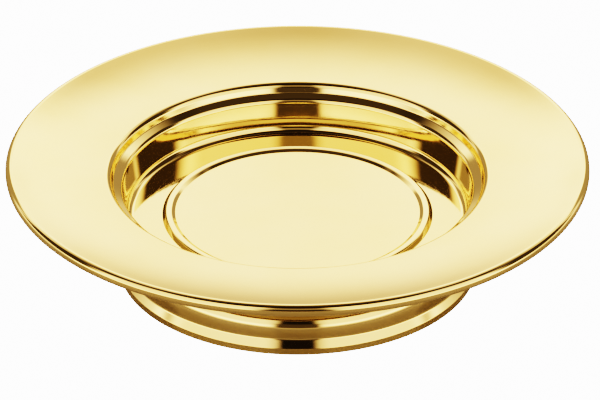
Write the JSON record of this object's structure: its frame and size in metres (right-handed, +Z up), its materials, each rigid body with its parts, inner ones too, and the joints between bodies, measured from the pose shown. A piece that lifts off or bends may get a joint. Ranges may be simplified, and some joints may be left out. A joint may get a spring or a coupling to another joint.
{
  "type": "offering plate",
  "caption": "Round gold-tone metal offering plate with a broad dished brim, rolled rim, stepped well, raised bead round its centre and a spun foot ring.",
  "frame": {"origin": "middle of the foot, on the surface that the plate stands on", "axes": "+Z up along the axis of the plate, out of the well"},
  "size_m": [0.2458, 0.2458, 0.0502],
  "materials": {
    "dish_brass": "mirror polished",
    "foot_brass": "mirror polished",
    "braze": "polished"
  },
  "bodies": {
    "root": {"dish": "dish_brass", "foot_ring": "foot_brass", "braze_seam": "braze"}
  },
  "joints": []
}
